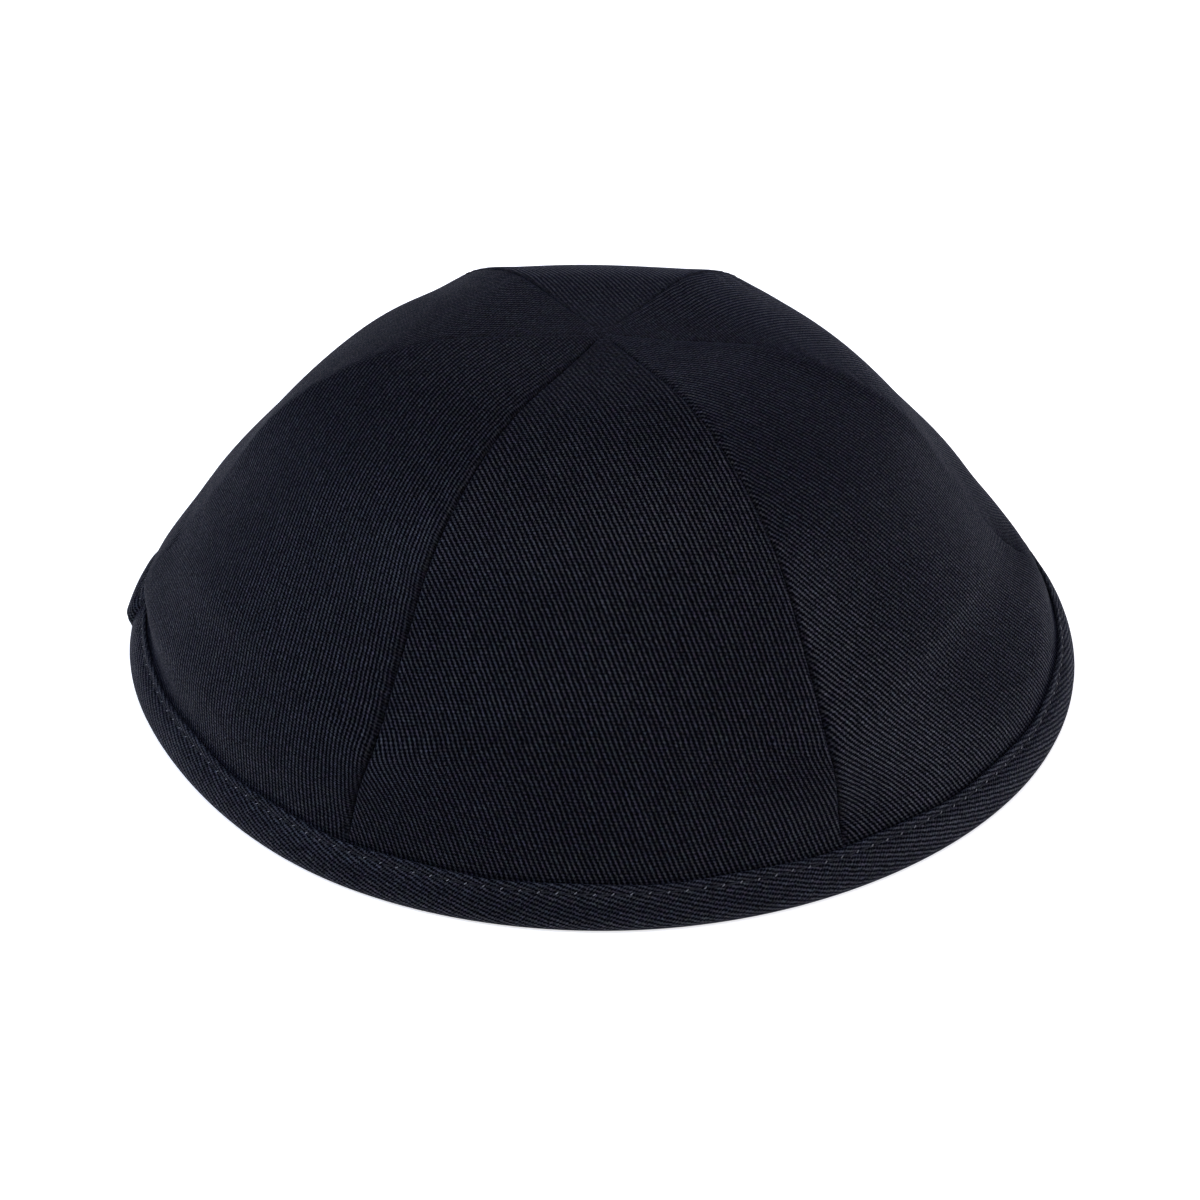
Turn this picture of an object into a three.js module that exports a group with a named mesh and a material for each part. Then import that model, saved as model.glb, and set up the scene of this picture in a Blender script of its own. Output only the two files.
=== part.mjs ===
// A kippah: a skullcap of six cloth gores, with a folded bias tape binding its rim.
// Millimetres, +Z up. The origin is on the table under the middle of the cap, and the front gore faces -Y.
import * as THREE from "three";

const DEGREE = Math.PI / 180;

// Driving sizes
const RIM_RADIUS = 77.1; // the widest that the round binding reaches from the cap's axis
const LIP_HEIGHT = 7.1; // top edge of the binding above the table
const WALL = 1.2; // cloth of a gore with its pressed seam allowances
const TAPE = 1; // one leg of the folded tape
const GAP = 0.3; // clearance between neighbouring pieces
const TUCK = 4.95; // how far a gore's lower edge goes down into the tape
const AXIS_X = 1.01; // the lapped end stands out on the left, so the cap's axis is right of the box's middle

// A gore's seam line at equal shares of its length, from the top of the binding up to the crown's tip:
// distance from the axis, height above the table, and how far the gore's middle bulges past the straight
// line between its two seams.
const PROFILE = [
  { radius: 73.4, height: LIP_HEIGHT, bulge: 8.3 },
  { radius: 71.1, height: 13.9, bulge: 6.5 },
  { radius: 65.9, height: 20.2, bulge: 7.4 },
  { radius: 59.4, height: 29.8, bulge: 5.5 },
  { radius: 50.2, height: 42.8, bulge: 2.5 },
  { radius: 38.8, height: 51, bulge: 0.7 },
  { radius: 25.9, height: 55.5, bulge: 0.2 },
  { radius: 11.3, height: 56.4, bulge: 0 },
  { radius: 0, height: 57, bulge: 0 },
];

// The seams, anticlockwise from the right as seen from above: direction in degrees, how far the seam is
// blown out (or sunk) halfway up, and the gore between this seam and the next.
const SEAMS = [
  { azimuth: 2.7, fullness: -2.7, gore: "panel_back_right" },
  { azimuth: 59.9, fullness: -0.3, gore: "panel_back" },
  { azimuth: 120.9, fullness: 0.4, gore: "panel_back_left" },
  { azimuth: 181.4, fullness: 1, gore: "panel_front_left" },
  { azimuth: 239.2, fullness: -0.8, gore: "panel_front" },
  { azimuth: 298.8, fullness: 3.5, gore: "panel_front_right" },
];

// Where along the seam the fullness peaks: the power of the share in a half sine wave, under 1 for lower down
const FULLNESS_POWER = 0.8;

// How far the soft rim stands off a true circle, at equal steps anticlockwise from the right
const RIM_OFFSETS = [0.2, -0.6, 0.1, 0, 0, 1, 1, -0.9, 0, 0, -0.1, 0.5];

// How far the gores puff out (or sink in) just above the binding, at the same steps, and by which share of the
// seam they have done so
const PUFFS = [-0.2, -0.8, 0.3, 0, 0.2, -1.3, 2.4, 0.1, -0.6, 0, -0.9, 0.1];
const PUFF_SHARE = 0.1;

// The gores come out of the binding as a round and turn into flat faces between ridges by this share
const ROUND_SHARE = 0.22;

// The gores' points stop just short of the tip, to keep the gap between them
const TIP_SHARE = 0.99;

// The binding's section: two legs that lean in with the cloth, on a rolled foot pressed flat by the table
const LEAN = 24.2 * DEGREE;
const SLOT_HALF = WALL / 2 + GAP;
const ROLL = SLOT_HALF + TAPE;
const ROLL_HEIGHT = 1.65; // height of the roll's middle, less than its radius, so the foot is flat
const ROLL_RADIUS = RIM_RADIUS - ROLL;
const SLOT_FLOOR = 0.4;
const INNER_LEG = 4.6;
const OUTER_LEG = (LIP_HEIGHT - ROLL_HEIGHT - ROLL * Math.sin(LEAN)) / Math.cos(LEAN);
const LIP_ROUNDING = 0.3;

// The tape's free end, folded over its start and sewn down at the left: directions in degrees of its front
// edge and of its back, and what its top edge keeps of its thickness
const LAP = { front: 178.8, step: 1, back: 168, fade: 8, thickness: 1.5, topShare: 0.7 };

// Mesh fineness
const ROWS_UP = 22;
const ROWS_IN_TUCK = 2;
const FACES_ACROSS = 10;
const FACES_ROUND = 72;
const ROLL_FACES = 4;

const CLOTH = { color: 0x1b1c25, roughness: 0.95, metalness: 0 };
const TAPE_CLOTH = { color: 0x1d1e28, roughness: 0.9, metalness: 0 };

// Catmull-Rom curve between two values, given the values on either side of them
function between(before, from, to, after, share) {
  const bend = 2 * before - 5 * from + 4 * to - after;
  const twist = 3 * (from - to) + after - before;
  return from + 0.5 * share * (to - before + share * (bend + share * twist));
}

// One column of the profile at a share of the seam's length. The curve leaves both ends straight.
function profileAt(column, share) {
  const last = PROFILE.length - 1;
  const place = share * last;
  const row = THREE.MathUtils.clamp(Math.floor(place), 0, last - 1);
  const value = (index) => PROFILE[index][column];
  const before = row > 0 ? value(row - 1) : 2 * value(0) - value(1);
  const after = row < last - 1 ? value(row + 2) : 2 * value(last) - value(last - 1);
  return between(before, value(row), value(row + 1), after, place - row);
}

// A value in one direction, from a table at equal steps round the rim
function roundRim(table, azimuth) {
  const count = table.length;
  const place = THREE.MathUtils.euclideanModulo(azimuth, 360) / (360 / count);
  const step = Math.floor(place);
  const value = (index) => table[THREE.MathUtils.euclideanModulo(index, count)];
  return between(value(step - 1), value(step), value(step + 1), value(step + 2), place - step);
}

// How far the cloth stands off a true round in one direction, at a share of the seam's length
function slackAt(azimuth, share) {
  const puff = roundRim(PUFFS, azimuth) * THREE.MathUtils.smoothstep(share, 0, PUFF_SHARE);
  return (roundRim(RIM_OFFSETS, azimuth) + puff) * (1 - share) ** 2;
}

// A point at a distance from the axis, a direction in degrees and a height
function polar(radius, azimuth, height) {
  const angle = azimuth * DEGREE;
  return new THREE.Vector3(radius * Math.cos(angle), radius * Math.sin(angle), height);
}

// The way out of the cloth at a share of the seam's length: its part away from the axis and its part up
function outward(share) {
  const reach = 0.01;
  const inwards = profileAt("radius", share + reach) - profileAt("radius", share - reach);
  const upwards = profileAt("height", share + reach) - profileAt("height", share - reach);
  const length = Math.hypot(inwards, upwards);
  return { away: upwards / length, up: -inwards / length };
}

// A seam's point, for the cap with flat faces
function seamPoint(seam, share) {
  const way = outward(share);
  const full = seam.fullness * Math.sin(Math.PI * share ** FULLNESS_POWER);
  const radius = profileAt("radius", share) + slackAt(seam.azimuth, share) + full * way.away;
  return polar(radius, seam.azimuth, profileAt("height", share) + full * way.up);
}

// A point of a gore: across runs from 0 at its first seam to 1 at the next, share from the binding to the
// tip, and depth goes into the cloth from its outer face
function clothPoint(first, next, across, share, depth) {
  const azimuth = THREE.MathUtils.lerp(first.azimuth, next.azimuth, across);
  const middle = (first.azimuth + next.azimuth) / 2;
  const way = outward(share);
  const bulge = profileAt("bulge", share) * (1 - (2 * across - 1) ** 2);
  const flat = seamPoint(first, share).lerp(seamPoint(next, share), across);
  flat.add(polar(bulge * way.away, middle, bulge * way.up));
  const radius = profileAt("radius", share) + slackAt(azimuth, share);
  const round = polar(radius, azimuth, profileAt("height", share));
  const point = round.lerp(flat, THREE.MathUtils.smoothstep(share, 0, ROUND_SHARE));
  return point.sub(polar(depth * way.away, azimuth, depth * way.up));
}

// A point of a gore's lower edge inside the binding, drop below the binding's top
function tuckPoint(first, next, across, drop, depth) {
  const azimuth = THREE.MathUtils.lerp(first.azimuth, next.azimuth, across);
  const radius = PROFILE[0].radius + roundRim(RIM_OFFSETS, azimuth) + drop * Math.sin(LEAN) - depth * Math.cos(LEAN);
  return polar(radius, azimuth, LIP_HEIGHT - drop * Math.cos(LEAN) - depth * Math.sin(LEAN));
}

// One closed loop round a gore's wall: along its outer face, then back along its inner face
function wallLoop(pointAt) {
  const width = pointAt(0, 0).distanceTo(pointAt(1, 0));
  const margin = GAP / 2 / width;
  const outer = [];
  const inner = [];
  for (let step = 0; step <= FACES_ACROSS; step += 1) {
    const across = THREE.MathUtils.lerp(margin, 1 - margin, step / FACES_ACROSS);
    outer.push(pointAt(across, 0));
    inner.unshift(pointAt(across, WALL));
  }
  return [...outer, ...inner];
}

// A closed body through loops of points. The loops join end to end in a ring, or both ends are capped by
// strips between each loop's first half and its second half.
function bodyThrough(loops, isRing) {
  const count = loops[0].length;
  const faces = [];
  const corner = (row, step) => (row % loops.length) * count + (step % count);
  const rows = isRing ? loops.length : loops.length - 1;
  for (let row = 0; row < rows; row += 1) {
    for (let step = 0; step < count; step += 1) {
      faces.push(corner(row, step), corner(row, step + 1), corner(row + 1, step + 1));
      faces.push(corner(row, step), corner(row + 1, step + 1), corner(row + 1, step));
    }
  }
  if (!isRing) {
    const top = loops.length - 1;
    for (let step = 0; step < count / 2 - 1; step += 1) {
      const across = count - 1 - step;
      faces.push(corner(0, step + 1), corner(0, step), corner(0, across));
      faces.push(corner(0, step + 1), corner(0, across), corner(0, across - 1));
      faces.push(corner(top, step), corner(top, step + 1), corner(top, across - 1));
      faces.push(corner(top, step), corner(top, across - 1), corner(top, across));
    }
  }
  const geometry = new THREE.BufferGeometry().setFromPoints(loops.flat());
  geometry.setIndex(faces);
  geometry.computeVertexNormals();
  return geometry;
}

function makeGore(first, next) {
  const loops = [];
  for (let row = 0; row < ROWS_IN_TUCK; row += 1) {
    const drop = TUCK * (1 - row / ROWS_IN_TUCK);
    loops.push(wallLoop((across, depth) => tuckPoint(first, next, across, drop, depth)));
  }
  for (let row = 0; row <= ROWS_UP; row += 1) {
    const share = (TIP_SHARE * row) / ROWS_UP;
    loops.push(wallLoop((across, depth) => clothPoint(first, next, across, share, depth)));
  }
  return bodyThrough(loops, false);
}

// The binding's section, from the outer leg's top down its face, under the foot, up the inner leg and round
// the slot between the legs. out is measured across the legs, along up them from the roll's middle, and lap
// is the share of the lapped end's thickness that a point takes on.
function tapeSection() {
  const footAngle = Math.asin(ROLL_HEIGHT / ROLL);
  const section = [
    { out: ROLL - LIP_ROUNDING, along: OUTER_LEG, lap: LAP.topShare },
    { out: ROLL, along: OUTER_LEG - LIP_ROUNDING, lap: LAP.topShare },
    { out: ROLL, along: OUTER_LEG / 2, lap: 1 },
  ];
  for (let step = 0; step <= ROLL_FACES; step += 1) {
    const turn = THREE.MathUtils.lerp(0, -footAngle - LEAN, step / ROLL_FACES);
    section.push({ out: ROLL * Math.cos(turn), along: ROLL * Math.sin(turn), lap: 1 - step / ROLL_FACES });
  }
  for (let step = 0; step <= ROLL_FACES; step += 1) {
    const turn = THREE.MathUtils.lerp(footAngle - LEAN - Math.PI, -Math.PI, step / ROLL_FACES);
    section.push({ out: ROLL * Math.cos(turn), along: ROLL * Math.sin(turn), lap: 0 });
  }
  section.push(
    { out: -ROLL, along: INNER_LEG - LIP_ROUNDING, lap: 0 },
    { out: LIP_ROUNDING - ROLL, along: INNER_LEG, lap: 0 },
    { out: -SLOT_HALF - LIP_ROUNDING, along: INNER_LEG, lap: 0 },
    { out: -SLOT_HALF, along: INNER_LEG - LIP_ROUNDING, lap: 0 },
    { out: -SLOT_HALF, along: SLOT_FLOOR, lap: 0 },
    { out: SLOT_HALF, along: SLOT_FLOOR, lap: 0 },
    { out: SLOT_HALF, along: OUTER_LEG - LIP_ROUNDING, lap: 0 },
    { out: SLOT_HALF + LIP_ROUNDING, along: OUTER_LEG, lap: 0 },
  );
  return section;
}

// How much of the lapped end lies on the binding in one direction: a short step at its front, a long fade
// at its back
function lapShare(azimuth) {
  const front = 1 - THREE.MathUtils.smoothstep(azimuth, LAP.front, LAP.front + LAP.step);
  return front * THREE.MathUtils.smoothstep(azimuth, LAP.back - LAP.fade, LAP.back);
}

function makeBinding() {
  const directions = [LAP.front, LAP.front + LAP.step, LAP.back, LAP.back - LAP.fade];
  for (let step = 0; step < FACES_ROUND; step += 1) {
    directions.push((360 * step) / FACES_ROUND);
  }
  directions.sort((one, other) => one - other);
  const section = tapeSection();
  const loops = directions.map((azimuth) =>
    section.map(({ out, along, lap }) => {
      const stand = out + lap * LAP.thickness * lapShare(azimuth);
      const offset = roundRim(RIM_OFFSETS, azimuth);
      const radius = ROLL_RADIUS + offset + stand * Math.cos(LEAN) - along * Math.sin(LEAN);
      return polar(radius, azimuth, ROLL_HEIGHT + stand * Math.sin(LEAN) + along * Math.cos(LEAN));
    }),
  );
  return bodyThrough(loops, true);
}

function makePiece(name, geometry, finish) {
  const piece = new THREE.Mesh(geometry, new THREE.MeshStandardMaterial(finish));
  piece.name = name;
  return piece;
}

const kippah = new THREE.Group();
kippah.name = "kippah";

const crown = new THREE.Group();
crown.name = "crown";
crown.position.x = AXIS_X;
SEAMS.forEach((seam, index) => {
  const following = SEAMS[(index + 1) % SEAMS.length];
  const next = index + 1 < SEAMS.length ? following : { ...following, azimuth: following.azimuth + 360 };
  crown.add(makePiece(seam.gore, makeGore(seam, next), CLOTH));
});
kippah.add(crown);

const rim = makePiece("rim_binding", makeBinding(), TAPE_CLOTH);
rim.position.x = AXIS_X;
kippah.add(rim);

export default kippah;
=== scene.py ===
# A kippah resting on its rim: six gores of near-black navy twill sewn into a cap, the raw rim bound with a
# folded bias tape that is topstitched all round. Metres, +Z up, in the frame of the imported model.
import math

import bpy
import numpy as np
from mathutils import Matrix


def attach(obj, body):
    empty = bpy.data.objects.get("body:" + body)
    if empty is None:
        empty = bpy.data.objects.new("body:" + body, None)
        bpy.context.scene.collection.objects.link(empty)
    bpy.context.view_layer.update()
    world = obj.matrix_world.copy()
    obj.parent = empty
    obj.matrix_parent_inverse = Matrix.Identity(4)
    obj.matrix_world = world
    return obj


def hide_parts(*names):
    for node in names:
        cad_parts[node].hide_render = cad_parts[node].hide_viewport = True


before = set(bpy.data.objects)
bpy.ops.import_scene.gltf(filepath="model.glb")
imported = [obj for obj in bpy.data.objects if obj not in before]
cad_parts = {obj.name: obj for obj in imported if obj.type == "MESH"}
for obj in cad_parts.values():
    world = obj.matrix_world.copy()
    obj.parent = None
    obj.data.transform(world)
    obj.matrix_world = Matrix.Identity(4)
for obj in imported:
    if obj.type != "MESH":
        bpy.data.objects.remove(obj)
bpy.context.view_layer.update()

# THE GORES
# Six pieces of cotton drill, each cut with its warp threads up the middle, sewn edge to edge from the rim
# to the tip. The seam allowances are pressed flat inside, all under the gore that stands proud of its
# neighbour, and the lower edges go down into the tape.
MM = 0.001
AXIS_X = 1.01 * MM
LIP_HEIGHT = 7.1 * MM
TUCK = 4.95 * MM
LEAN = math.radians(24.2)
SEAM_PRESS = 0.005 * MM
CLOTH_THICKNESS = 0.85 * MM
ALLOWANCE_THICKNESS = 0.35 * MM
ALLOWANCE_WIDTH = 6 * MM
ROUND_SHARE = 0.22
TIP_SHARE = 0.9995
FULLNESS_POWER = 0.8

# Seam line from the tape to the tip: distance from the axis, height, bulge of the gore's middle
PROFILE = MM * np.array([
    (73.4, 7.1, 8.3),
    (71.1, 13.9, 6.5),
    (65.9, 20.2, 7.4),
    (59.4, 29.8, 5.5),
    (50.2, 42.8, 2.5),
    (38.8, 51, 0.7),
    (25.9, 55.5, 0.2),
    (11.3, 56.4, 0),
    (0, 57, 0),
])

# At equal steps anticlockwise from the right: how far the soft rim stands off a true circle, and how far
# the gores puff out just above the tape
RIM_OFFSETS = MM * np.array([0.2, -0.6, 0.1, 0, 0, 1, 1, -0.9, 0, 0, -0.1, 0.5])
PUFFS = MM * np.array([-0.2, -0.8, 0.3, 0, 0.2, -1.3, 2.4, 0.1, -0.6, 0, -0.9, 0.1])
PUFF_SHARE = 0.1

# Each seam's direction, fullness, the gore after it anticlockwise, whether that gore is the proud one, how
# deep the cloth sinks beside the seam, how far from the seam the steam iron flattened the ribs before and
# after it, how flat that gore's ribs are at the tip, and how much its weave was stretched across and up
SEAMS = [
    {
        "azimuth": 2.7, "fullness": -2.7 * MM, "gore": "panel_back_right", "proud": False, "sink": 0.15,
        "ironed": (3 * MM, 11 * MM), "flat_tip": 0.3, "stretch": (1, 1),
    },
    {
        "azimuth": 59.9, "fullness": -0.3 * MM, "gore": "panel_back", "proud": True, "sink": 0.15,
        "ironed": (0.6 * MM, 0.6 * MM), "flat_tip": 0.7, "stretch": (1, 1),
    },
    {
        "azimuth": 120.9, "fullness": 0.4 * MM, "gore": "panel_back_left", "proud": False, "sink": 0.15,
        "ironed": (0.6 * MM, 0.6 * MM), "flat_tip": 0.85, "stretch": (1, 1),
    },
    {
        "azimuth": 181.4, "fullness": 1 * MM, "gore": "panel_front_left", "proud": True, "sink": 0.25,
        "ironed": (2 * MM, 1 * MM), "flat_tip": 0.7, "stretch": (1, 1),
    },
    {
        "azimuth": 239.2, "fullness": -0.8 * MM, "gore": "panel_front", "proud": True, "sink": 1,
        "ironed": (1.4 * MM, 0.3 * MM), "flat_tip": 0.85, "stretch": (1, 1),
    },
    {
        "azimuth": 298.8, "fullness": 3.5 * MM, "gore": "panel_front_right", "proud": False, "sink": 1,
        "ironed": (0.5 * MM, 0.7 * MM), "flat_tip": 0.6, "stretch": (1.1, 1.05),
    },
]

# Ribs flattened by the iron
TIP_REACH = (62 * MM, 96 * MM)
IRONED_MOST = 0.9

# Cloth beside a seam: rolled edge, ridge over the allowances, dips of the stitches and the dark notch
EDGE_ROLL = 0.35 * MM
RIDGE = 0.14 * MM
RIDGE_NEAR, RIDGE_FAR = 1 * MM, 6 * MM
DIP = 1 * MM
DIP_WIDTH = 1.8 * MM
STITCH_PITCH = 2.6 * MM
STITCH_DIMPLE = 0.07 * MM
DIMPLE_WIDTH = 0.7 * MM
NOTCH = 0.28 * MM
NOTCH_WIDTH = 0.22 * MM
NOTCH_BY_SINK = (0.3, 1.4)
NOTCH_BREAK_BY_SINK = (0.55, -0.4)
NOTCH_ROOM = (0.8 * MM, 4 * MM)
CREASE_ROOM = (1 * MM, 24 * MM)
CREASE_START = (-0.5 * MM, 1.5 * MM)

# Puckers along a seam, drawn at random within these limits
PUCKER_SEED = 40
PUCKER_FIRST = (1 * MM, 4 * MM)
PUCKER_STEP = (3.2 * MM, 7.5 * MM)
PUCKER_DEPTH = (0.1 * MM, 0.34 * MM)
PUCKER_WIDTH = (0.8 * MM, 1.7 * MM)
PUCKER_REACH = (2.5 * MM, 7 * MM)
PUCKER_SLANT = (-0.5, 0.5)
PUCKER_ONSET = 0.6 * MM
PUCKER_ON_PROUD = 0.35
SEAM_LENGTH = 110 * MM

# Dents in the field of a gore, and ripples just above the tape
DENT_SEED = 70
DENTS_PER_GORE = 9
DENT_ACROSS = (0.1, 0.9)
DENT_UP = (0.05, 0.85)
DENT_DEPTH = 0.28 * MM
DENT_RADIUS = (6 * MM, 15 * MM)
RIPPLE_LENGTHS = (0.021, 0.013, 0.009)
RIPPLE_DEPTH = 0.1 * MM
RIPPLE_FADE = 7 * MM
FIELD_EDGE = 5 * MM
FIELD_START = (0, 4.5 * MM)

# Edges rubbed pale, and the layers inside
RUBBED_HEIGHT = (0.12 * MM, 0.4 * MM)
RUBBED_REACH = 1.5 * MM
ALLOWANCE_EDGE = 0.3 * MM
HEM_LOW, HEM_HIGH = 3 * MM, 5 * MM
INNER_SINK = 0.6

# Mesh fineness
ROWS_UP = 188
TUCK_ROWS = 5
EDGE_COLUMNS = MM * np.array([0, 0.06, 0.14, 0.24, 0.36, 0.52, 0.75, 1.05, 1.45, 1.95, 2.5])
MIDDLE_COLUMNS = 98


def smooth_step(value, low, high):
    share = np.clip((value - low) / (high - low), 0, 1)
    return share * share * (3 - 2 * share)


def spline(values, place, closed):
    """Catmull-Rom curve through equally spaced values, going on straight past open ends."""
    count = len(values)
    if closed:
        step = np.floor(place).astype(int)
        before, start, end, after = (values[(step + shift) % count] for shift in (-1, 0, 1, 2))
    else:
        step = np.clip(np.floor(place), 0, count - 2).astype(int)
        below, above = 2 * values[:1] - values[1:2], 2 * values[-1:] - values[-2:-1]
        longer = np.concatenate([below, values, above])
        before, start, end, after = (longer[step + shift] for shift in range(4))
    share = place - step
    bend = 2 * before - 5 * start + 4 * end - after
    twist = 3 * (start - end) + after - before
    return start + 0.5 * share * (end - before + share * (bend + share * twist))


def profile(column, share):
    return spline(PROFILE[:, column], share * (len(PROFILE) - 1), False)


def round_rim(table, azimuth):
    return spline(table, np.mod(azimuth, 360) * len(table) / 360, True)


def slack(azimuth, share):
    """How far the cloth stands off a true round."""
    puff = round_rim(PUFFS, azimuth) * smooth_step(share, 0, PUFF_SHARE)
    return (round_rim(RIM_OFFSETS, azimuth) + puff) * (1 - share) ** 2


def polar(radius, azimuth, height):
    angle = np.radians(azimuth)
    parts = np.broadcast_arrays(radius * np.cos(angle), radius * np.sin(angle), height)
    return np.stack(parts, -1)


def outward(share):
    """The way out of the cloth: its part away from the axis and its part up."""
    reach = 0.01
    inwards = profile(0, share + reach) - profile(0, share - reach)
    upwards = profile(1, share + reach) - profile(1, share - reach)
    length = np.hypot(inwards, upwards)
    return upwards / length, -inwards / length


def seam_point(seam, share):
    away, up = outward(share)
    full = seam["fullness"] * np.sin(np.pi * np.clip(share, 0, 1) ** FULLNESS_POWER)
    radius = profile(0, share) + slack(seam["azimuth"], share) + full * away
    return polar(radius, seam["azimuth"], profile(1, share) + full * up)


def cloth_point(first, following, across, share):
    """A gore's outer face, before its creases. across runs from 0 at the first seam to 1 at the other."""
    azimuth = first["azimuth"] + across * (following["azimuth"] - first["azimuth"])
    middle = (first["azimuth"] + following["azimuth"]) / 2
    away, up = outward(share)
    bulge = profile(2, share) * (1 - (2 * across - 1) ** 2)
    one, other = seam_point(first, share), seam_point(following, share)
    flat = one + (other - one) * across[..., None] + polar(bulge * away, middle, bulge * up)
    turned = polar(profile(0, share) + slack(azimuth, share), azimuth, profile(1, share))
    return turned + (flat - turned) * smooth_step(share, 0, ROUND_SHARE)[..., None]


def lengths_along(points, axis):
    """Distance gone along a grid of points in one direction, from 0."""
    steps = np.linalg.norm(np.diff(points, axis=axis), axis=-1)
    gone = np.cumsum(steps, axis=axis)
    return np.concatenate([np.zeros_like(np.take(gone, [0], axis)), gone], axis)


def seam_creases(seam, along, off, is_proud, room, width):
    """How far the cloth stands out beside a seam, off metres from it, on a gore of this width."""
    turn_in, fall = (EDGE_ROLL, EDGE_ROLL) if is_proud else (DIP_WIDTH, DIP)
    roll = 1 - np.sqrt(1 - np.clip(1 - off / turn_in, 0, 1) ** 2)
    stitches = 0.5 + 0.5 * np.cos(2 * np.pi * along / STITCH_PITCH)
    out = -fall * seam["sink"] * roll
    out -= STITCH_DIMPLE * stitches * np.exp(-off / DIMPLE_WIDTH)
    if is_proud:
        out += RIDGE * smooth_step(-off, -RIDGE_FAR, -RIDGE_NEAR)
    for place, depth, spread, reach, slant in seam["puckers"]:
        near = np.exp(-(((along + slant * off - place) / spread) ** 2))
        depth *= PUCKER_ON_PROUD if is_proud else 1
        out -= depth * near * (1 - np.exp(-off / PUCKER_ONSET)) * np.exp(-off / reach)
    notch_depth = NOTCH * (NOTCH_BY_SINK[0] + NOTCH_BY_SINK[1] * seam["sink"])
    broken = NOTCH_BREAK_BY_SINK[0] + NOTCH_BREAK_BY_SINK[1] * seam["sink"]
    notch = notch_depth * (1 - broken * (1 - stitches)) * np.exp(-off / NOTCH_WIDTH)
    return out * room - notch * smooth_step(width, *NOTCH_ROOM)


def closed_mesh(name, loops_grid, coordinates, rubbed, pressed, ring):
    """A closed mesh through a grid of points whose columns go round. Rows join in a ring, or the first
    and last row are capped by strips between their first and second halves."""
    rows, columns = loops_grid.shape[:2]
    number = np.arange(rows * columns).reshape(rows, columns)
    if ring:
        number = np.concatenate([number, number[:1]])
    turned = np.roll(number, -1, axis=1)
    faces = np.stack([number[:-1], turned[:-1], turned[1:], number[1:]], -1).reshape(-1, 4)
    if not ring:
        half = columns // 2
        for row, flip in ((number[0], True), (number[-1], False)):
            outer, inner = row[:half], row[half:][::-1]
            cap = np.stack([outer[:-1], outer[1:], inner[1:], inner[:-1]], -1)
            faces = np.concatenate([faces, cap[:, ::-1] if flip else cap])
    mesh = bpy.data.meshes.new(name)
    mesh.from_pydata(loops_grid.reshape(-1, 3).tolist(), [], faces.tolist())
    mesh.uv_layers.new(name="cloth")
    corners = np.empty(len(mesh.loops), dtype=np.int32)
    mesh.loops.foreach_get("vertex_index", corners)
    places = coordinates.reshape(-1, 2)[corners]
    mesh.uv_layers["cloth"].uv.foreach_set("vector", places.astype(np.float32).ravel())
    for label, amount in (("rubbed", rubbed), ("pressed", pressed)):
        written = mesh.attributes.new(label, "FLOAT", "POINT").data
        written.foreach_set("value", amount.astype(np.float32).ravel())
    mesh.shade_smooth()
    piece = bpy.data.objects.new(name, mesh)
    bpy.context.scene.collection.objects.link(piece)
    return piece


def add_node(tree, kind, feeds=(), **settings):
    """A node with its options set and its inputs fed by a value or by another node's output."""
    made = tree.nodes.new(kind)
    for option, value in settings.items():
        setattr(made, option, value)
    for socket, value in dict(feeds).items():
        if isinstance(value, bpy.types.NodeSocket):
            tree.links.new(value, made.inputs[socket])
        else:
            made.inputs[socket].default_value = value
    return made


def maths(tree, operation, *values):
    return add_node(tree, "ShaderNodeMath", enumerate(values), operation=operation).outputs[0]


def vector_maths(tree, operation, first, second):
    feeds = {0: first, "Scale" if operation == "SCALE" else 1: second}
    return add_node(tree, "ShaderNodeVectorMath", feeds, operation=operation).outputs[0]


def noise(tree, place, scale, detail, roughness=0.5):
    feeds = {"Vector": place, "Scale": scale, "Detail": detail, "Roughness": roughness}
    return add_node(tree, "ShaderNodeTexNoise", feeds).outputs


def new_group(name, inputs, outputs):
    """A node group's tree, the sockets that it is given and those that take its results."""
    tree = bpy.data.node_groups.new(name, "ShaderNodeTree")
    for label, (kind, value) in inputs.items():
        tree.interface.new_socket(label, in_out="INPUT", socket_type=kind).default_value = value
    for label, kind in outputs.items():
        tree.interface.new_socket(label, in_out="OUTPUT", socket_type=kind)
    given, result = tree.nodes.new("NodeGroupInput"), tree.nodes.new("NodeGroupOutput")
    return tree, given.outputs, result.inputs


def blend_colours(tree, share, first, second, kind="MIX"):
    feeds = {0: share, 6: first, 7: second}
    return add_node(tree, "ShaderNodeMix", feeds, data_type="RGBA", blend_type=kind).outputs[2]


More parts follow.
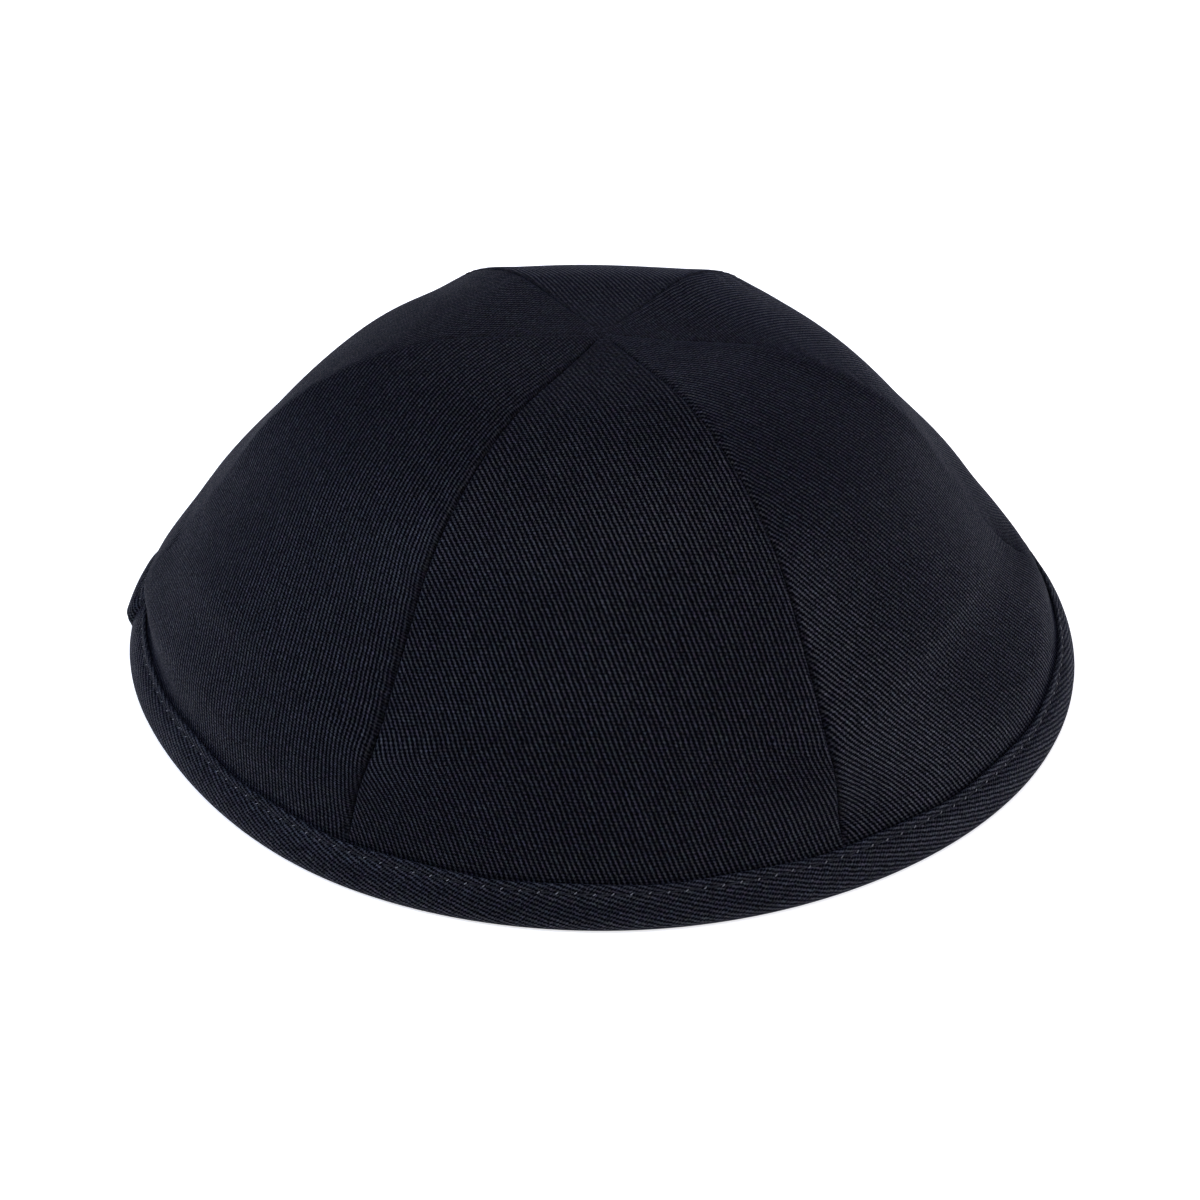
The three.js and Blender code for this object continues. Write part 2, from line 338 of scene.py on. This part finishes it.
def make_twill_group():
    """Cotton drill: each warp thread floats over three picks and under one, a pick lower on the next
    thread, so that the floats line up in steep beaded ribs, with shade painted into the grooves between
    them."""
    value, colour, vector = "NodeSocketFloat", "NodeSocketColor", "NodeSocketVector"
    tree, given, result = new_group(
        "twill weave",
        {
            "Cloth Place": (vector, (0, 0, 0)),
            "Thread Width": (value, 0.000194),
            "Pick Height": (value, 0.000455),
            "Rib Colour": (colour, (0.03, 0.03, 0.04, 1)),
            # The groove shade colour is painted shade for the grooves between the ribs
            "Groove Shade Colour": (colour, (0.001, 0.001, 0.002, 1)),
            "Worn Colour": (colour, (0.05, 0.05, 0.06, 1)),
            "Rubbed": (value, 0),
            "Pressed": (value, 0),
            "Wander": (value, 0.00014),
            "Groove Depth": (value, 0.7),
        },
        {"Colour": colour, "Gloss": value, "Roughness": value, "Height": value},
    )
    place = given["Cloth Place"]

    # Threads that wander a little, counted across and up
    wander = noise(tree, place, 900.0, 2.0)["Color"]
    shift = vector_maths(tree, "SUBTRACT", wander, (0.5, 0.5, 0.5))
    shift = vector_maths(tree, "SCALE", shift, given["Wander"])
    placed = vector_maths(tree, "ADD", shift, place)
    flat = add_node(tree, "ShaderNodeSeparateXYZ", {0: placed}).outputs
    threads = maths(tree, "DIVIDE", flat["X"], given["Thread Width"])
    picks = maths(tree, "DIVIDE", flat["Y"], given["Pick Height"])

    # Height: round ribs of four threads, beaded where floats end, with grooves that ironing fills
    ribs = maths(tree, "MULTIPLY", maths(tree, "ADD", picks, threads), 0.25)
    half_turn = maths(tree, "MULTIPLY", maths(tree, "FRACT", ribs), math.pi)
    rib_round = maths(tree, "POWER", maths(tree, "SINE", half_turn), 1.9)
    groove = maths(tree, "SUBTRACT", 1.0, rib_round)
    beads = maths(tree, "COSINE", maths(tree, "MULTIPLY", picks, 2 * math.pi))
    float_end = maths(tree, "MULTIPLY_ADD", beads, 0.5, 0.5)
    groove_depth = maths(tree, "MULTIPLY_ADD", float_end, 0.55, given["Groove Depth"])
    unpressed = maths(tree, "SUBTRACT", 1.0, given["Pressed"])
    sunk = maths(tree, "MULTIPLY", maths(tree, "MULTIPLY", groove, groove_depth), unpressed)
    sunk = maths(tree, "MULTIPLY_ADD", given["Pressed"], 0.37, sunk)
    height = maths(tree, "SUBTRACT", maths(tree, "MULTIPLY_ADD", float_end, -0.24, 1.0), sunk)
    # How high the relief stands: the rib colour where high, the painted groove shade where low; gloss and
    # roughness follow it too
    lit = add_node(
        tree, "ShaderNodeMapRange", {"Value": height, "From Min": 0.15, "From Max": 0.95},
        interpolation_type="SMOOTHSTEP",
    ).outputs["Result"]

    # Brightness: each rib's own tone, broad clouding and fine fuzz
    own_across = maths(tree, "MULTIPLY", maths(tree, "FLOOR", ribs), 0.37)
    own_up = maths(tree, "MULTIPLY", picks, 0.07)
    own = add_node(tree, "ShaderNodeCombineXYZ", {"X": own_across, "Y": own_up}).outputs[0]
    tone = maths(tree, "MULTIPLY_ADD", noise(tree, own, 3.0, 1.0)[0], 0.9, 0.55)
    broad = maths(tree, "MULTIPLY_ADD", noise(tree, place, 55.0, 3.0)[0], 0.5, 0.75)
    fuzz = noise(tree, place, 2400.0, 4.0, 0.85)[0]
    grain = maths(tree, "MAXIMUM", maths(tree, "MULTIPLY_ADD", fuzz, 9.0, -3.38), 0.1)
    bright = maths(tree, "MULTIPLY", maths(tree, "MULTIPLY", tone, broad), grain)

    # Colour: specks of dye on the ribs, paler where rubbed, and painted shade in the grooves where the
    # relief is low, with ironed cloth taking a middle share of it
    worn = maths(tree, "MULTIPLY", given["Rubbed"], maths(tree, "MULTIPLY", fuzz, 1.2))
    rib = blend_colours(tree, 0.5, given["Rib Colour"], wander, "OVERLAY")
    rib = blend_colours(tree, worn, rib, given["Worn Colour"])
    shown = blend_colours(tree, lit, given["Groove Shade Colour"], rib)
    tree.links.new(vector_maths(tree, "SCALE", shown, bright), result["Colour"])

    # Gloss, roughness and relief
    shine = maths(tree, "MULTIPLY", maths(tree, "POWER", lit, 1.6), bright)
    tree.links.new(maths(tree, "MULTIPLY", shine, 0.28), result["Gloss"])
    tree.links.new(maths(tree, "MULTIPLY_ADD", lit, -0.14, 0.98), result["Roughness"])
    tree.links.new(maths(tree, "MULTIPLY_ADD", fuzz, 2.6, height), result["Height"])
    return tree


twill_weave = make_twill_group()


def twill_material(name, rib, groove, worn, relief, wander, groove_depth):
    """A twill finish: the weave group's colours, with shade painted into the grooves, and its height on a
    rough cloth with a faint blue sheen.
    """
    made = bpy.data.materials.new(name)
    made.use_nodes = True
    tree = made.node_tree
    cloth = tree.nodes["Principled BSDF"]
    place = add_node(tree, "ShaderNodeUVMap", uv_map="cloth").outputs[0]
    weave = tree.nodes.new("ShaderNodeGroup")
    weave.node_tree = twill_weave
    tree.links.new(place, weave.inputs["Cloth Place"])
    for label in ("rubbed", "pressed"):
        amount = add_node(tree, "ShaderNodeAttribute", attribute_name=label).outputs["Fac"]
        tree.links.new(amount, weave.inputs[label.title()])
    # The groove colour given here is painted shade for the grooves
    for label, colour in (("Rib Colour", rib), ("Groove Shade Colour", groove), ("Worn Colour", worn)):
        weave.inputs[label].default_value = (*colour, 1)
    weave.inputs["Wander"].default_value = wander
    weave.inputs["Groove Depth"].default_value = groove_depth
    feeds = {"Height": weave.outputs["Height"], "Strength": 1.0, "Distance": relief}
    bump = add_node(tree, "ShaderNodeBump", feeds)
    tree.links.new(weave.outputs["Colour"], cloth.inputs["Base Color"])
    tree.links.new(weave.outputs["Roughness"], cloth.inputs["Roughness"])
    tree.links.new(bump.outputs[0], cloth.inputs["Normal"])
    tree.links.new(weave.outputs["Gloss"], cloth.inputs["Coat Weight"])
    cloth.inputs["Coat Roughness"].default_value = 0.5
    cloth.inputs["Specular IOR Level"].default_value = 0.02
    cloth.inputs["Sheen Weight"].default_value = 0.05
    cloth.inputs["Sheen Roughness"].default_value = 0.2
    cloth.inputs["Sheen Tint"].default_value = (0.5, 0.57, 1, 1)
    return made


navy_drill = twill_material(
    "navy drill",
    rib=(0.0118, 0.0119, 0.0163),
    # groove: painted shade in the grooves between the ribs
    groove=(0.0003, 0.0005, 0.0016),
    worn=(0.019, 0.02, 0.028),
    relief=0.00008,
    wander=0.0002,
    groove_depth=0.7,
)

for number, seam in enumerate(SEAMS):
    luck = np.random.default_rng(PUCKER_SEED + number)
    seam["puckers"] = []
    place = luck.uniform(*PUCKER_FIRST)
    while place < SEAM_LENGTH:
        ranges = (PUCKER_DEPTH, PUCKER_WIDTH, PUCKER_REACH, PUCKER_SLANT)
        seam["puckers"].append((place, *(luck.uniform(*limits) for limits in ranges)))
        place += luck.uniform(*PUCKER_STEP)


def gore_grid(first, following):
    """Across and up shares of a gore's grid and its width, the columns crowded at both seams."""
    share = np.linspace(0, TIP_SHARE, ROWS_UP + 1)[:, None]
    one = np.array([seam_point(first, row)[0] for row in share])
    other = np.array([seam_point(following, row)[0] for row in share])
    width = np.linalg.norm(one - other, axis=-1)[:, None]
    crowd = np.minimum(1, width / (4 * EDGE_COLUMNS[-1]))  # at most half of the width is crowded
    edge = EDGE_COLUMNS * crowd - SEAM_PRESS
    middle = np.linspace(0, 1, MIDDLE_COLUMNS + 2)[1:-1]
    reach = edge[:, -1:]
    inner = reach + (width - 2 * reach) * middle
    off = np.concatenate([edge, inner, (width - edge)[:, ::-1]], axis=1)
    return off / width, share, width


def make_gore(number, seam, following):
    luck = np.random.default_rng(DENT_SEED + number)
    across, share, width = gore_grid(seam, following)
    share = share + 0 * across
    surface = cloth_point(seam, following, across, share)
    azimuth = seam["azimuth"] + across * (following["azimuth"] - seam["azimuth"])
    ways = outward(share)
    out_way = polar(ways[0], azimuth, ways[1])

    # Cloth place: distance round from the gore's middle, and distance up it
    round_way = lengths_along(surface, 1)
    round_way -= round_way[:, -1:] / 2
    up_way = lengths_along(surface, 0)
    middle_up = up_way[:, [up_way.shape[1] // 2]]
    cloth_place = np.stack([round_way, middle_up + 0 * round_way], -1)
    stretch = np.array(seam["stretch"])

    # Creases beside both seams, dents of the field, and slack where the cloth goes into the tape
    room = smooth_step(width, *CREASE_ROOM)
    off_first, off_next = across * width, (1 - across) * width
    creases = seam_creases(seam, up_way[:, :1], off_first, seam["proud"], room, width)
    creases += seam_creases(following, up_way[:, -1:], off_next, not following["proud"], room, width)
    inside = (1 - np.exp(-off_first / FIELD_EDGE)) * (1 - np.exp(-off_next / FIELD_EDGE))
    out = np.zeros_like(creases)
    for _ in range(DENTS_PER_GORE):
        at_across, at_share = luck.uniform(*DENT_ACROSS), luck.uniform(*DENT_UP)
        depth = luck.normal(0, DENT_DEPTH)
        wide, tall = luck.uniform(*DENT_RADIUS, 2)
        gap_across = (across - at_across) * width / wide
        gap_up = (share - at_share) * middle_up.max() / tall
        out += depth * inside * np.exp(-(gap_across**2) - gap_up**2)
    ripples = sum(
        luck.uniform(0.5, 1) * np.sin(2 * np.pi * round_way / wave + luck.uniform(0, 6))
        for wave in RIPPLE_LENGTHS
    )
    out += RIPPLE_DEPTH * ripples * inside * np.exp(-middle_up / RIPPLE_FADE)
    out = out * smooth_step(middle_up, *FIELD_START) + creases * smooth_step(middle_up, *CREASE_START)
    near_seam = np.minimum(off_first, off_next)
    rubbed = smooth_step(out, *RUBBED_HEIGHT) * np.exp(-near_seam / RUBBED_REACH)

    # Ribs flattened by the iron beside the seams and towards the tip
    relief = 1 - seam["flat_tip"] * smooth_step(middle_up, *TIP_REACH)
    for off, reach in ((off_first, seam["ironed"][1]), (off_next, following["ironed"][0])):
        relief = relief * (1 - IRONED_MOST * np.exp(-((off / reach) ** 2)))
    pressed = 1 - relief

    # The lower edge inside the tape
    drop = np.linspace(TUCK, 0, TUCK_ROWS + 1)[:-1, None]
    tuck_azimuth = np.repeat(azimuth[:1], TUCK_ROWS, axis=0)
    tuck_radius = PROFILE[0, 0] + round_rim(RIM_OFFSETS, tuck_azimuth) + drop * math.sin(LEAN)
    tuck = polar(tuck_radius, tuck_azimuth, LIP_HEIGHT - drop * math.cos(LEAN))
    tuck_out = polar(math.cos(LEAN), tuck_azimuth, math.sin(LEAN))
    tuck_place = np.stack([np.repeat(round_way[:1], TUCK_ROWS, axis=0), -drop + 0 * tuck_azimuth], -1)

    # The inner face, thicker over the seam allowances and the hem
    allowance = smooth_step(-near_seam, -ALLOWANCE_WIDTH - ALLOWANCE_EDGE, -ALLOWANCE_WIDTH)
    hem = smooth_step(-middle_up, -HEM_HIGH, -HEM_LOW)
    thickness = CLOTH_THICKNESS + ALLOWANCE_THICKNESS * np.maximum(allowance, hem)
    sunk = np.minimum(out, 0)
    outer = np.concatenate([tuck, surface + out[..., None] * out_way])
    inner = np.concatenate([
        tuck - (CLOTH_THICKNESS + ALLOWANCE_THICKNESS) * tuck_out,
        surface + (INNER_SINK * sunk - thickness)[..., None] * out_way,
    ])
    places = np.concatenate([tuck_place, cloth_place]) / stretch
    worn = np.concatenate([np.zeros_like(tuck_azimuth), rubbed])
    flattened = np.concatenate([np.zeros_like(tuck_azimuth), pressed])
    loops = np.concatenate([outer, inner[:, ::-1]], axis=1) + [AXIS_X, 0, 0]
    piece = closed_mesh(
        seam["gore"].replace("panel", "gore"),
        loops,
        np.concatenate([places, places[:, ::-1]], axis=1),
        np.concatenate([worn, 0 * worn], axis=1),
        np.concatenate([flattened, flattened[:, ::-1]], axis=1),
        False,
    )
    piece.data.materials.append(navy_drill)
    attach(piece, "root")
    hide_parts(seam["gore"])


for number, seam in enumerate(SEAMS):
    following = SEAMS[(number + 1) % len(SEAMS)]
    if following["azimuth"] < seam["azimuth"]:
        following = {**following, "azimuth": following["azimuth"] + 360}
    make_gore(number, seam, following)

# THE BINDING
# A bias strip of the same twill, its long edges turned under, folded over the raw rim and sewn through all
# the layers. Its free end is turned in and laps over the start at the left.
ROLL = 1.9 * MM
ROLL_HEIGHT = 1.65 * MM
ROLL_RADIUS = 75.2 * MM
OUTER_LEG = 5.12 * MM
INNER_LEG = 4.6 * MM
STITCH_LINE = 3.8 * MM
STITCH_COUNT = 174
BIAS = math.radians(49)
BIAS_STRETCH = 0.94

# The lapped end, in degrees round the rim: its front edge as a whole, low down and high up, the width of
# the rounded fold there, and the fade at its back
LAP = {
    "front": 177, "low": 177, "high": 176.6, "step": 2, "back": 168, "fade": 8, "thickness": 1.5 * MM,
}

# Unevenness of the tape: its waves' size, count round the rim, slant and phase, and how deep they are
TAPE_WAVES = ((0.5, 23, 0, 0.4), (0.35, 41, 150, 1.9), (0.3, 67, 0, 2.6))
TAPE_WAVE_DEPTH = 0.07 * MM
WAVE_START = (0.5 * MM, 3 * MM)
EDGE_WAVE, EDGE_WAVE_COUNT = 0.16 * MM, 19
EDGE_WAVE_START = (3.5 * MM, 5 * MM)
HOLE_DEPTH, HOLE_WIDTH = 0.16 * MM, 0.4 * MM

# Where the tape's outer side begins, and the wear along its upper fold
OUTER_SIDE = (0.9 * MM, 1.2 * MM)
FOLD_WEAR = 0.7
FOLD_WEAR_START = (4.3 * MM, 4.9 * MM)

# How the lapped end lifts the tape: the degrees over which its slant is eased in, where up the leg the lift
# begins, how much of it is lost at the sewn top, and how much of it the slot's wall takes
LAP_WINDOW = (8, 7)
LAP_FOOT = (-1.8 * MM, 0)
LAP_TOP = (0.45, 0.9)
LAP_TOP_LOSS = 0.33
SLOT_LIFT = 0.85
SLOT_LIFT_START = (2.5 * MM, 4.5 * MM)

# Half sections from the foot up: distance out from the middle of the wall, and distance up the leg
OUTER_FACE = MM * np.array([
    (1.9, 0), (1.93, 0.6), (1.94, 1.2), (1.9, 1.8), (1.8, 2.4), (1.62, 3), (1.4, 3.5), (1.28, 3.8),
    (1.36, 4.2), (1.45, 4.5), (1.44, 4.8), (1.34, 5.02), (1.14, 5.12), (0.96, 5.05), (0.86, 4.85),
])
SLOT_WALL = MM * np.array([(0.84, 4.4), (0.86, 3.7), (0.88, 2.8), (0.9, 1.6), (0.9, 0.4)])


def leg_section(reach, sign):
    """One leg's faces from its foot up, over its fold and down into the slot."""
    scale = np.array([1, reach / OUTER_LEG])
    places = np.linspace(0, len(OUTER_FACE) - 1, 27)
    face = np.stack([spline(column, places, False) for column in OUTER_FACE.T], -1)
    return np.concatenate([face, SLOT_WALL]) * scale * [sign, 1]


def tape_section():
    foot = math.asin(ROLL_HEIGHT / ROLL)
    right = np.linspace(-foot - LEAN, 0, 6)[:-1]
    left = np.linspace(-math.pi, foot - LEAN - math.pi, 6)[1:]
    arcs = [ROLL * np.stack([np.cos(turn), np.sin(turn)], -1) for turn in (right, left)]
    outer, inner = leg_section(OUTER_LEG, 1), leg_section(INNER_LEG, -1)
    return np.concatenate([arcs[0], outer, inner[::-1], arcs[1]])


def tape_point(azimuth, out, along):
    radius = ROLL_RADIUS + round_rim(RIM_OFFSETS, azimuth) + out * math.cos(LEAN) - along * math.sin(LEAN)
    height = ROLL_HEIGHT + out * math.sin(LEAN) + along * math.cos(LEAN)
    return polar(radius, azimuth, np.maximum(height, 0)) + [AXIS_X, 0, 0]


def tape_waves(azimuth, along):
    """Slow unevenness of the tape round the rim, the same on its face and on the stitches."""
    turn = np.radians(azimuth)
    waves = sum(
        size * np.sin(count * turn + slant * along + phase) for size, count, slant, phase in TAPE_WAVES
    )
    return TAPE_WAVE_DEPTH * waves * smooth_step(along, *WAVE_START)


def lap_lift(base, share_up):
    """How much of the lapped end lies here: a rounded fold at its front, a long fade at its back, and
    less towards its sewn top edge."""
    front = np.sqrt(1 - np.clip((base - LAP["front"]) / LAP["step"], 0, 1) ** 2)
    back = smooth_step(base, LAP["back"] - LAP["fade"], LAP["back"])
    return front * back * (1 - LAP_TOP_LOSS * smooth_step(share_up, *LAP_TOP))


def tape_directions():
    """Directions round the rim, seven to a stitch, crowded at the lapped end's front edge."""
    even = np.arange(0, 360, 360 / (7 * STITCH_COUNT))
    end = LAP["front"] + LAP["step"]
    crowded = end - np.array([
        2, 1.6, 1.25, 0.95, 0.7, 0.5, 0.35, 0.23, 0.14, 0.07, 0.03, 0.01, 0, -0.03, -0.1, -0.2
    ])
    clear = even[(even < end - 2.2) | (even > end + 0.3)]
    return np.sort(np.concatenate([clear, crowded]))


def make_binding():
    section = tape_section()
    base = tape_directions()[:, None]
    out, along = section[:, 0][None] + 0 * base, section[:, 1][None] + 0 * base
    share_up = np.clip(along / OUTER_LEG, 0, 1)
    side = np.sign(out)
    outer_side = smooth_step(out, *OUTER_SIDE)

    # The lapped end, its front edge slanting a little
    lean_front = LAP["low"] + (LAP["high"] - LAP["low"]) * share_up - LAP["front"]
    window = smooth_step(LAP_WINDOW[0] - np.abs(base - LAP["front"]), 0, LAP_WINDOW[1])
    azimuth = base + lean_front * window * (out > 0)
    lifted = np.maximum(outer_side, SLOT_LIFT * smooth_step(along, *SLOT_LIFT_START) * (out > 0))
    lap = lap_lift(base, share_up) * smooth_step(along, *LAP_FOOT) * lifted

    # Needle holes, waves of the faces and of the upper edges
    holes = 0.5 + 0.5 * np.cos(np.radians(azimuth) * STITCH_COUNT)
    sewn = np.exp(-(((along - STITCH_LINE) / HOLE_WIDTH) ** 2)) * np.abs(side)
    dimple = -HOLE_DEPTH * sewn * holes**6
    stand = side * (tape_waves(azimuth, along) + dimple) * smooth_step(np.abs(out), *OUTER_SIDE)
    edge_waves = EDGE_WAVE * np.sin(np.radians(azimuth) * EDGE_WAVE_COUNT + 1)
    edge_waves = edge_waves * smooth_step(along, *EDGE_WAVE_START)
    points = tape_point(azimuth, out + stand + lap * LAP["thickness"], along + edge_waves)

    # Cloth place on the bias
    steps = lengths_along(points, 1)
    steps -= steps[:, [len(section) // 4]]
    face_row = np.argmin(np.abs(along[0] - 2 * MM) + np.abs(out[0] - ROLL))
    around = lengths_along(points[:, [face_row]], 0) + (azimuth - base) * math.radians(1) * ROLL_RADIUS
    places = np.stack([
        around * math.cos(BIAS) + steps * math.sin(BIAS), steps * math.cos(BIAS) - around * math.sin(BIAS)
    ], -1) / BIAS_STRETCH
    rubbed = outer_side * smooth_step(along, *FOLD_WEAR_START) * FOLD_WEAR
    piece = closed_mesh("bias_binding", points, places, rubbed, 0 * rubbed, True)
    piece.data.materials.append(navy_tape)
    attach(piece, "root")
    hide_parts("rim_binding")


navy_tape = twill_material(
    "navy bias tape",
    rib=(0.0118, 0.0123, 0.0175),
    # groove: painted shade in the grooves between the ribs
    groove=(0.0003, 0.0005, 0.0016),
    worn=(0.016, 0.02, 0.029),
    relief=0.00007,
    wander=0.00035,
    groove_depth=0.5,
)
make_binding()

# THE TOPSTITCHING
# One row of dark thread near the tape's upper fold, locked through all the layers, outside and inside. Each
# stitch lies along the tape and dives into its needle hole, where the paler bobbin thread just shows.
THREAD_RADIUS = 0.12 * MM
THREAD_RISE = 0.03 * MM
THREAD_DIVE = 0.3 * MM
THREAD_SLANT = 0.12 * MM
THREAD_SPAN = (0.1, 0.86)
BOBBIN_RADIUS = 0.075 * MM
BOBBIN_RISE = 0.03 * MM
BOBBIN_DIVE = 0.08 * MM
BOBBIN_CLIMB = 0.16 * MM
BOBBIN_SPAN = (-0.05, 0.1)
STITCH_WOBBLE = 0.04 * MM
STITCH_SEED = 11
FACE_ROWS = 9
THREAD_RINGS = 9
THREAD_SIDES = 6


def tape_face(azimuth, along, side):
    """Where the tape's outer (side 1) or inner (side -1) face lies beside the stitches."""
    reach = np.interp(along, OUTER_FACE[:FACE_ROWS, 1], OUTER_FACE[:FACE_ROWS, 0])
    lap = LAP["thickness"] * lap_lift(azimuth, along / OUTER_LEG) if side > 0 else 0
    return side * (reach + tape_waves(azimuth, along)) + lap


def tubes(name, centres, radius, finish):
    """Round threads along rows of points, closed at both ends, in one mesh."""
    count, rings = centres.shape[:2]
    ahead = np.gradient(centres, axis=1)
    ahead /= np.linalg.norm(ahead, axis=-1, keepdims=True)
    over = np.cross(ahead, [0, 0, 1])
    over /= np.linalg.norm(over, axis=-1, keepdims=True)
    under = np.cross(over, ahead)
    turn = np.linspace(0, 2 * np.pi, THREAD_SIDES, endpoint=False)
    taper = np.sqrt(np.clip(1 - np.linspace(-1, 1, rings) ** 6, 0.05, 1))
    taper = taper[None, :, None, None] * radius
    ring = over[:, :, None] * np.cos(turn)[:, None] + under[:, :, None] * np.sin(turn)[:, None]
    points = centres[:, :, None] + taper * ring
    number = np.arange(count * rings * THREAD_SIDES).reshape(count, rings, THREAD_SIDES)
    aside = np.roll(number, -1, axis=2)
    faces = np.stack([number[:, :-1], number[:, 1:], aside[:, 1:], aside[:, :-1]], -1)
    faces = faces.reshape(-1, 4).tolist() + number[:, 0].tolist() + number[:, -1, ::-1].tolist()
    mesh = bpy.data.meshes.new(name)
    mesh.from_pydata(points.reshape(-1, 3).tolist(), [], faces)
    mesh.shade_smooth()
    mesh.materials.append(finish)
    piece = bpy.data.objects.new(name, mesh)
    bpy.context.scene.collection.objects.link(piece)
    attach(piece, "root")


def thread_material(name, colour, streak):
    """Twisted cotton thread: fine grain in two tones, softly glossy."""
    made = bpy.data.materials.new(name)
    made.use_nodes = True
    tree = made.node_tree
    thread = tree.nodes["Principled BSDF"]
    place = add_node(tree, "ShaderNodeTexCoord").outputs["Object"]
    grain = noise(tree, place, 6000.0, 2.0)[0]
    shown = blend_colours(tree, grain, (*colour, 1), (*streak, 1))
    tree.links.new(shown, thread.inputs["Base Color"])
    rough = maths(tree, "MULTIPLY_ADD", grain, 0.3, 0.5)
    tree.links.new(rough, thread.inputs["Roughness"])
    bump = add_node(tree, "ShaderNodeBump", {"Height": grain, "Strength": 0.6, "Distance": 0.00004})
    tree.links.new(bump.outputs[0], thread.inputs["Normal"])
    thread.inputs["Specular IOR Level"].default_value = 0.15
    return made


navy_thread = thread_material("navy thread", (0.003, 0.0033, 0.005), (0.009, 0.01, 0.014))
bobbin_thread = thread_material("bobbin thread", (0.085, 0.087, 0.095), (0.21, 0.212, 0.225))

stitch_luck = np.random.default_rng(STITCH_SEED)
pitch = 360 / STITCH_COUNT
for side, place in ((1, "outside"), (-1, "inside")):
    line = STITCH_LINE * (1 if side > 0 else INNER_LEG / OUTER_LEG)
    start = np.arange(STITCH_COUNT)[:, None] * pitch
    run = np.linspace(*THREAD_SPAN, THREAD_RINGS)[None]
    azimuth = start + run * pitch
    wobble = stitch_luck.normal(0, STITCH_WOBBLE, (STITCH_COUNT, 1)) + (run - 0.5) * THREAD_SLANT
    from_middle = np.abs(2 * np.linspace(0, 1, THREAD_RINGS)[None] - 1)
    rise = THREAD_RISE - THREAD_DIVE * from_middle**4
    out = tape_face(azimuth, STITCH_LINE + wobble, side) + side * rise
    tubes("topstitching_" + place, tape_point(azimuth, out, line + wobble), THREAD_RADIUS, navy_thread)

    run = np.linspace(*BOBBIN_SPAN, THREAD_RINGS)[None]
    azimuth = start + run * pitch
    climb = np.linspace(-1, 1, THREAD_RINGS)[None]
    along = line + climb * BOBBIN_CLIMB + stitch_luck.normal(0, STITCH_WOBBLE, (STITCH_COUNT, 1))
    rise = BOBBIN_RISE - BOBBIN_DIVE * climb**2
    out = tape_face(azimuth, STITCH_LINE + 0 * along, side) + side * rise
    tubes("bobbin_loops_" + place, tape_point(azimuth, out, along), BOBBIN_RADIUS, bobbin_thread)

# FLOOR, LIGHT AND CAMERA
# A plain white table with soft boxes round it, seen from the front and above.
TABLE_SIZE = 6

table_mesh = bpy.data.meshes.new("table")
quarters = ((-1, -1), (1, -1), (1, 1), (-1, 1))
corners = [(x * TABLE_SIZE / 2, y * TABLE_SIZE / 2, 0) for x, y in quarters]
table_mesh.from_pydata(corners, [], [(0, 1, 2, 3)])
table = bpy.data.objects.new("table", table_mesh)
bpy.context.scene.collection.objects.link(table)
white = bpy.data.materials.new("white table")
white.use_nodes = True
surface = white.node_tree.nodes["Principled BSDF"].inputs
surface["Base Color"].default_value = (0.9, 0.9, 0.9, 1)
surface["Roughness"].default_value = 0.8
surface["Emission Color"].default_value = (1, 1, 1, 1)
surface["Emission Strength"].default_value = 0.65
table_mesh.materials.append(white)

BOX_DISTANCE = 1.2
BOX_SIZE = 0.7

# Each soft box: direction it stands in, height angle, power and colour
SOFT_BOXES = {
    "front high": (-90, 60, 3.3, (0.93, 0.91, 1)),
    "front right": (-50, 35, 1.5, (0.88, 0.87, 1)),
    "right low": (-12, 12, 8.7, (0.8, 0.82, 1)),
    "right high": (-12, 42, 0.7, (0.86, 0.87, 1)),
    "back": (90, 35, 1.9, (0.86, 0.87, 1)),
    "left low": (168, 12, 1.4, (0.58, 0.7, 1)),
    "left high": (192, 42, 8.7, (0.58, 0.7, 1)),
    "top": (-90, 85, 4.7, (0.9, 0.89, 1)),
}
for name, (direction, rise, power, tint) in SOFT_BOXES.items():
    light = bpy.data.lights.new(name, "AREA")
    light.size = BOX_SIZE
    light.energy = power
    light.color = tint
    lamp = bpy.data.objects.new("soft box " + name, light)
    flat_reach = BOX_DISTANCE * math.cos(math.radians(rise))
    lamp.location = (
        flat_reach * math.cos(math.radians(direction)),
        flat_reach * math.sin(math.radians(direction)),
        BOX_DISTANCE * math.sin(math.radians(rise)),
    )
    lamp.rotation_euler = (math.radians(90 - rise), 0, math.radians(direction + 90))
    bpy.context.scene.collection.objects.link(lamp)

world = bpy.data.worlds.new("studio")
world.use_nodes = True
backdrop = world.node_tree.nodes["Background"].inputs
backdrop["Color"].default_value = (1, 1, 1, 1)
backdrop["Strength"].default_value = 0.05
bpy.context.scene.world = world
bpy.context.scene.view_settings.view_transform = "Standard"

CAMERA_RISE = math.radians(33.86)
CAMERA_DISTANCE = 0.49828
CAMERA_LENS = 90.07
CAMERA_SHIFT = (-0.00262, 0.03176)
lens = bpy.data.cameras.new("camera")
lens.sensor_width = 36
lens.lens = CAMERA_LENS
lens.shift_x, lens.shift_y = CAMERA_SHIFT
lens.clip_start = 0.01
camera = bpy.data.objects.new("camera", lens)
camera.location = (
    AXIS_X, -CAMERA_DISTANCE * math.cos(CAMERA_RISE), CAMERA_DISTANCE * math.sin(CAMERA_RISE)
)
camera.rotation_euler = (math.pi / 2 - CAMERA_RISE, 0, 0)
bpy.context.scene.collection.objects.link(camera)
bpy.context.scene.camera = camera
